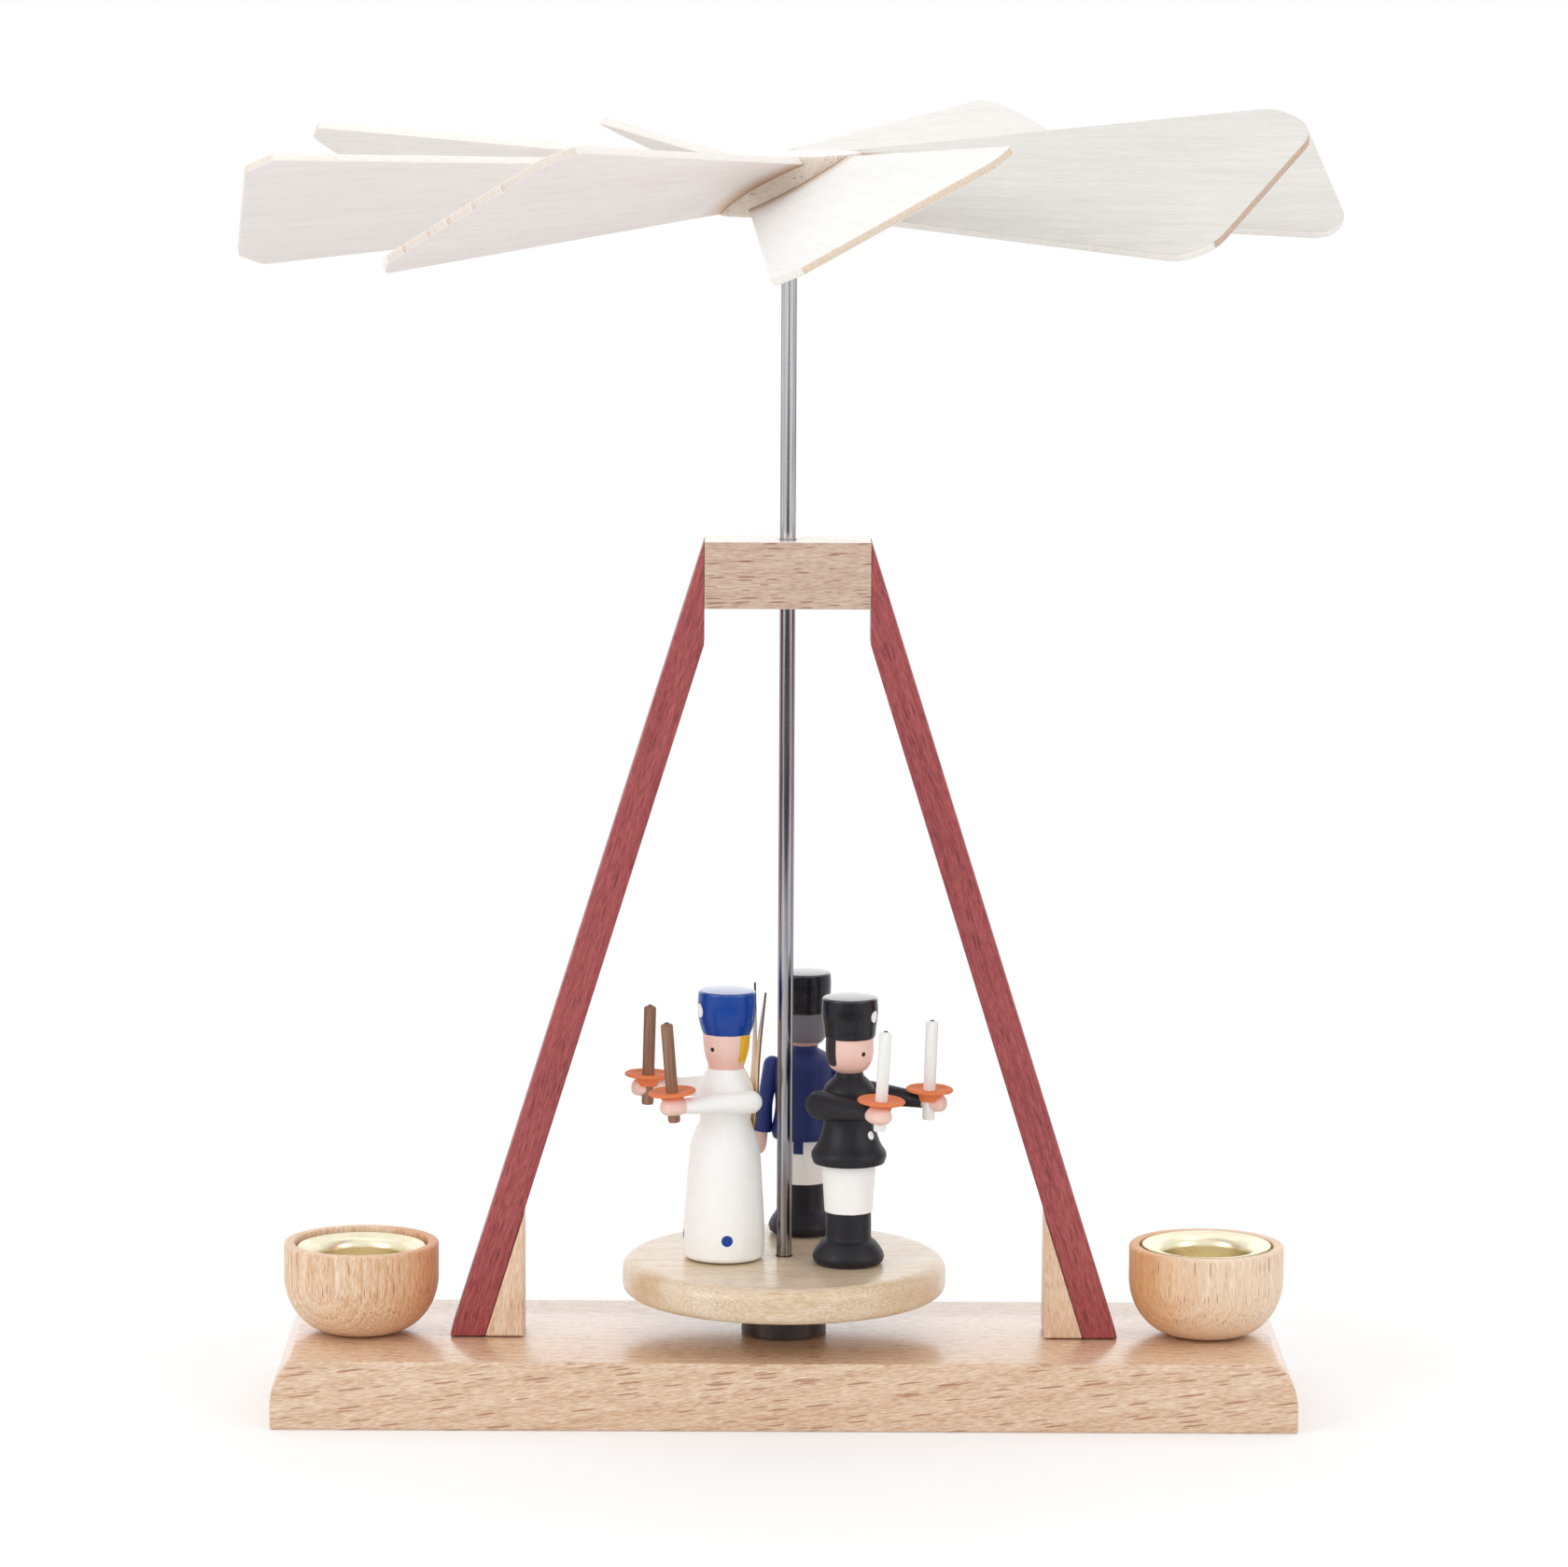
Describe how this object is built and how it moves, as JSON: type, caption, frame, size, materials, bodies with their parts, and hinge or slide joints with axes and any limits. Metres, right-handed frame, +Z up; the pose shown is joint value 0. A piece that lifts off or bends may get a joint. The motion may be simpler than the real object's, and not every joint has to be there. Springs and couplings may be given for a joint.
{
  "type": "candle pyramid",
  "caption": "Wooden Christmas candle pyramid: a wheel of pitched blades turns a steel shaft and a turntable of painted figures between leaning struts, with candle bowls on the board.",
  "frame": {"origin": "on the shaft's axis at the underside of the board", "axes": "+Z up along the shaft, +X to the right along the board, -Y towards the front"},
  "size_m": [0.2146, 0.2147, 0.2546],
  "materials": {
    "beech": "satin",
    "red_beech": "stained satin",
    "dark_wood": "stained satin",
    "pale_wood": "raw",
    "blade_wood": "raw",
    "wing_wood": "raw with burnt edge",
    "steel": "drawn",
    "brass": "polished",
    "angel_paint": "painted satin",
    "miner_paint": "painted satin",
    "bandsman_paint": "painted satin",
    "orange_paint": "painted satin",
    "brown_wood": "stained",
    "white_wood": "painted satin"
  },
  "bodies": {
    "root": {"base_board": "beech", "strut_left": "red_beech", "strut_right": "red_beech", "wedge_left": "beech", "wedge_right": "beech", "crossbeam": "beech", "bearing_block": "dark_wood", "bearing_cup": "brass", "candle_bowl_left": "beech", "candle_bowl_right": "beech", "candle_insert_left": "brass", "candle_insert_right": "brass", "bowl_dowel_left": "beech", "bowl_dowel_right": "beech"},
    "rotor": {"shaft": "steel", "turntable": "pale_wood", "rotor_hub": "pale_wood", "blade_1": "blade_wood", "blade_2": "blade_wood", "blade_3": "blade_wood", "blade_4": "blade_wood", "blade_5": "blade_wood", "blade_6": "blade_wood", "blade_7": "blade_wood", "blade_8": "blade_wood", "angel_body": "angel_paint", "angel_arm_left": "angel_paint", "angel_arm_right": "angel_paint", "angel_wings": "wing_wood", "angel_drip_plate_left": "orange_paint", "angel_drip_plate_right": "orange_paint", "angel_candle_left": "brown_wood", "angel_candle_right": "brown_wood", "miner_body": "miner_paint", "miner_arm_left": "miner_paint", "miner_arm_right": "miner_paint", "miner_drip_plate_left": "orange_paint", "miner_drip_plate_right": "orange_paint", "miner_candle_left": "white_wood", "miner_candle_right": "white_wood", "bandsman_body": "bandsman_paint", "bandsman_arm_left": "bandsman_paint", "bandsman_arm_right": "bandsman_paint"}
  },
  "joints": [
    {"name": "rotor_spin", "type": "hinge", "parent": "root", "child": "rotor", "pos_m": [0, 0, 0.1], "axis": [0, 0, 1], "continuous": true}
  ]
}
